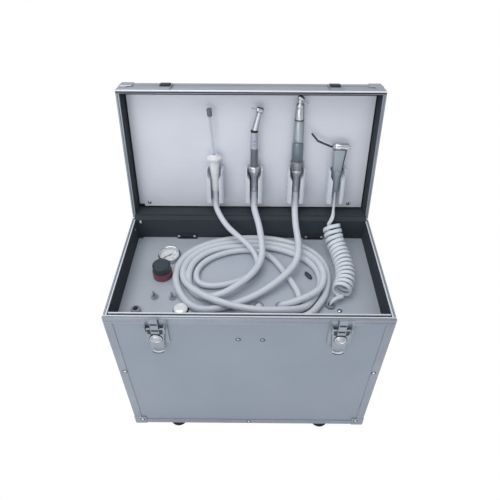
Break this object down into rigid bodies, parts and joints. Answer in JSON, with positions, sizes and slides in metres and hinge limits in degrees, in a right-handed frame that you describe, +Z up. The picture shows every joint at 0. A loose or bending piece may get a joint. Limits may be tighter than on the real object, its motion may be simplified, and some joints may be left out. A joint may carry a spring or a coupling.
{
  "type": "portable dental unit",
  "caption": "Carry-case dental unit: compressor and control panel in the case, handpieces, syringe and saliva ejector in holders in the hinged lid, on coiled hoses.",
  "frame": {"origin": "on the resting surface, under the middle of the open unit's bounding box", "axes": "+Z up, +X to the right seen from the front, +Y from the latches to the hinges"},
  "size_m": [0.4332, 0.331, 0.5616],
  "materials": {
    "laminate": "fine satin laminate on board",
    "extrusion": "satin anodised",
    "fastener": "nickel plated",
    "hinge_black": "black oxide",
    "foot_rubber": "matt",
    "latch_plate_steel": "bright nickel",
    "panel_sheet": "brushed and anodised",
    "lid_sheet": "brushed and anodised",
    "gauge_metal": "chromed",
    "dial_white": "matt white print",
    "needle_black": "matt",
    "lens": "clear",
    "regulator_metal": "die cast",
    "lock_ring_red": "satin",
    "knob_black": "fine grained",
    "bright_metal": "chromed",
    "toggle_steel": "satin",
    "nozzle_steel": "dark chrome",
    "gland_black": "satin",
    "gland_grey": "satin turned",
    "rocker_black": "gloss",
    "cast_aluminium": "cast",
    "rotor_iron": "machined",
    "tank_paint": "plain",
    "bottle_plastic": "translucent",
    "holder_plastic": "satin",
    "ejector_cream": "satin",
    "clear_tube": "clear soft plastic",
    "instrument_steel": "satin",
    "bur_steel": "ground",
    "motor_dark": "dark anodised",
    "syringe_grey": "satin",
    "handle_black": "soft grip",
    "hose_grey": "smooth silicone"
  },
  "bodies": {
    "case": {"case_boards": "laminate", "case_rim": "extrusion", "case_edge_trims": "extrusion", "case_fasteners": "fastener", "rubber_feet": "foot_rubber", "hinge_case_leaves": "hinge_black", "latch_plates": "latch_plate_steel", "control_panel": "panel_sheet", "gauge_case": "gauge_metal", "gauge_dial": "dial_white", "gauge_lens": "lens", "regulator_body": "regulator_metal", "toggle_bases": "toggle_steel", "hose_glands": "gland_grey", "compressor_body": "cast_aluminium", "air_tank": "tank_paint", "valve_block": "regulator_metal", "bottles": "bottle_plastic", "power_inlet": "gland_black", "hose_hank": "hose_grey", "suction_hose": "hose_grey", "turbine_hose": "hose_grey", "motor_hose": "hose_grey", "syringe_lead": "hose_grey", "syringe_hose": "hose_grey"},
    "lid": {"lid_boards": "laminate", "lid_rim": "extrusion", "lid_edge_trims": "extrusion", "lid_panel": "lid_sheet", "lid_fasteners": "fastener", "latch_strikes": "latch_plate_steel", "hinge_lid_leaves": "hinge_black", "instrument_holders": "holder_plastic", "handle_brackets": "latch_plate_steel"},
    "gauge_needle": {"gauge_needle": "needle_black"},
    "regulator_lock_ring": {"regulator_lock_ring": "lock_ring_red"},
    "regulator_knob": {"regulator_knob": "knob_black"},
    "air_toggle": {"air_toggle": "toggle_steel"},
    "water_toggle": {"water_toggle": "toggle_steel"},
    "filler_cap": {"filler_cap": "bright_metal"},
    "latch_lever_left": {"latch_lever_left": "latch_plate_steel"},
    "latch_lever_right": {"latch_lever_right": "latch_plate_steel"},
    "latch_hook_left": {"latch_hook_left": "latch_plate_steel"},
    "latch_hook_right": {"latch_hook_right": "latch_plate_steel"},
    "compressor_rotor": {"compressor_rotor": "rotor_iron"},
    "power_rocker": {"power_rocker": "rocker_black"},
    "carry_handle": {"carry_handle": "handle_black"},
    "ejector_collar": {"ejector_collar": "ejector_cream"},
    "turbine_bur": {"turbine_bur": "bur_steel"},
    "speed_ring": {"speed_ring": "instrument_steel"},
    "contra_angle": {"contra_angle": "instrument_steel"},
    "contra_angle_bur": {"contra_angle_bur": "bur_steel"},
    "syringe_air_button": {"syringe_air_button": "bright_metal"},
    "syringe_water_button": {"syringe_water_button": "bright_metal"},
    "syringe_nozzle": {"syringe_nozzle": "nozzle_steel"},
    "ejector": {"ejector_handle": "ejector_cream", "ejector_tube": "clear_tube"},
    "turbine": {"turbine_handpiece": "instrument_steel"},
    "motor": {"air_motor": "motor_dark"},
    "syringe": {"syringe_body": "syringe_grey"}
  },
  "joints": [
    {"name": "lid_hinge", "type": "hinge", "parent": "case", "child": "lid", "pos_m": [0, 0.0735, 0.333], "axis": [1, 0, 0], "range_deg": [0, 100.95], "deforming": ["suction_hose", "turbine_hose", "motor_hose", "syringe_lead", "syringe_hose"]},
    {"name": "latch_lever_left_hinge", "type": "hinge", "parent": "case", "child": "latch_lever_left", "pos_m": [-0.1392, -0.1613, 0.315], "axis": [-1, 0, 0], "range_deg": [0, 95]},
    {"name": "latch_hook_left_hinge", "type": "hinge", "parent": "latch_lever_left", "child": "latch_hook_left", "pos_m": [-0.1392, -0.1613, 0.306], "axis": [-1, 0, 0], "range_deg": [-95, 0]},
    {"name": "latch_lever_right_hinge", "type": "hinge", "parent": "case", "child": "latch_lever_right", "pos_m": [0.1365, -0.1613, 0.315], "axis": [-1, 0, 0], "range_deg": [0, 95]},
    {"name": "latch_hook_right_hinge", "type": "hinge", "parent": "latch_lever_right", "child": "latch_hook_right", "pos_m": [0.1365, -0.1613, 0.306], "axis": [-1, 0, 0], "range_deg": [-95, 0]},
    {"name": "gauge_needle_turn", "type": "hinge", "parent": "case", "child": "gauge_needle", "pos_m": [-0.144, 0.0155, 0.294], "axis": [0, 0, -1], "range_deg": [0, 250]},
    {"name": "regulator_lift", "type": "slide", "parent": "case", "child": "regulator_lock_ring", "axis": [0, 0, 1], "range_m": [0, 0.003]},
    {"name": "regulator_turn", "type": "hinge", "parent": "regulator_lock_ring", "child": "regulator_knob", "pos_m": [-0.1492, -0.0305, 0.31], "axis": [0, 0, 1], "range_deg": [-540, 540]},
    {"name": "air_toggle_hinge", "type": "hinge", "parent": "case", "child": "air_toggle", "pos_m": [-0.1555, -0.0795, 0.2942], "axis": [-1, 0, 0], "range_deg": [0, 24]},
    {"name": "water_toggle_hinge", "type": "hinge", "parent": "case", "child": "water_toggle", "pos_m": [-0.126, -0.0805, 0.2942], "axis": [-1, 0, 0], "range_deg": [0, 24]},
    {"name": "filler_cap_turn", "type": "hinge", "parent": "case", "child": "filler_cap", "pos_m": [-0.1095, -0.1065, 0.294], "axis": [0, 0, 1], "range_deg": [0, 90]},
    {"name": "compressor_spin", "type": "hinge", "parent": "case", "child": "compressor_rotor", "pos_m": [0.04, -0.0405, 0.088], "axis": [1, 0, 0], "continuous": true},
    {"name": "power_rocker_hinge", "type": "hinge", "parent": "case", "child": "power_rocker", "pos_m": [0.15, 0.0655, 0.086], "axis": [1, 0, 0], "range_deg": [-7, 7]},
    {"name": "carry_handle_hinge", "type": "hinge", "parent": "lid", "child": "carry_handle", "pos_m": [0, 0.15026, 0.44547], "axis": [1, 0, 0], "range_deg": [-10.9, 79]},
    {"name": "ejector_tilt", "type": "hinge", "parent": "lid", "child": "ejector", "pos_m": [-0.063, 0.09576, 0.37962], "axis": [-1, 0, 0], "range_deg": [-35, 0]},
    {"name": "turbine_tilt", "type": "hinge", "parent": "lid", "child": "turbine", "pos_m": [0.006, 0.09576, 0.37962], "axis": [-1, 0, 0], "range_deg": [-35, 0]},
    {"name": "motor_tilt", "type": "hinge", "parent": "lid", "child": "motor", "pos_m": [0.0803, 0.09576, 0.37962], "axis": [-1, 0, 0], "range_deg": [-35, 0]},
    {"name": "syringe_tilt", "type": "hinge", "parent": "lid", "child": "syringe", "pos_m": [0.151, 0.09576, 0.37962], "axis": [-1, 0, 0], "range_deg": [-35, 0]},
    {"name": "ejector_collar_turn", "type": "hinge", "parent": "ejector", "child": "ejector_collar", "pos_m": [-0.063, 0.10716, 0.43853], "axis": [0, 0.19, 0.9818], "range_deg": [0, 90]},
    {"name": "turbine_spin", "type": "hinge", "parent": "turbine", "child": "turbine_bur", "pos_m": [0.01495, 0.12319, 0.52139], "axis": [0.9703, -0.046, -0.2375], "continuous": true},
    {"name": "speed_ring_turn", "type": "hinge", "parent": "motor", "child": "speed_ring", "pos_m": [0.0803, 0.10526, 0.42871], "axis": [0, 0.19, 0.9818], "range_deg": [-45, 45]},
    {"name": "contra_angle_swivel", "type": "hinge", "parent": "motor", "child": "contra_angle", "pos_m": [0.0803, 0.11476, 0.4778], "axis": [0, 0.19, 0.9818], "continuous": true},
    {"name": "contra_angle_spin", "type": "hinge", "parent": "contra_angle", "child": "contra_angle_bur", "pos_m": [0.0811, 0.12701, 0.54112], "axis": [0.8192, -0.109, -0.5631], "continuous": true},
    {"name": "syringe_air_press", "type": "slide", "parent": "syringe", "child": "syringe_air_button", "axis": [-1, 0, 0], "range_m": [0, 0.002], "stiffness_N_per_m": 300, "springref_m": -0.002},
    {"name": "syringe_water_press", "type": "slide", "parent": "syringe", "child": "syringe_water_button", "axis": [-1, 0, 0], "range_m": [0, 0.002], "stiffness_N_per_m": 300, "springref_m": -0.002},
    {"name": "syringe_nozzle_swivel", "type": "hinge", "parent": "syringe", "child": "syringe_nozzle", "pos_m": [0.143, 0.11153, 0.46111], "axis": [1, 0, 0], "range_deg": [-30, 90]}
  ],
  "couplings": [
    {"joint": "latch_hook_left_hinge", "follows": "latch_lever_left_hinge", "ratio": -1},
    {"joint": "latch_hook_right_hinge", "follows": "latch_lever_right_hinge", "ratio": -1}
  ]
}
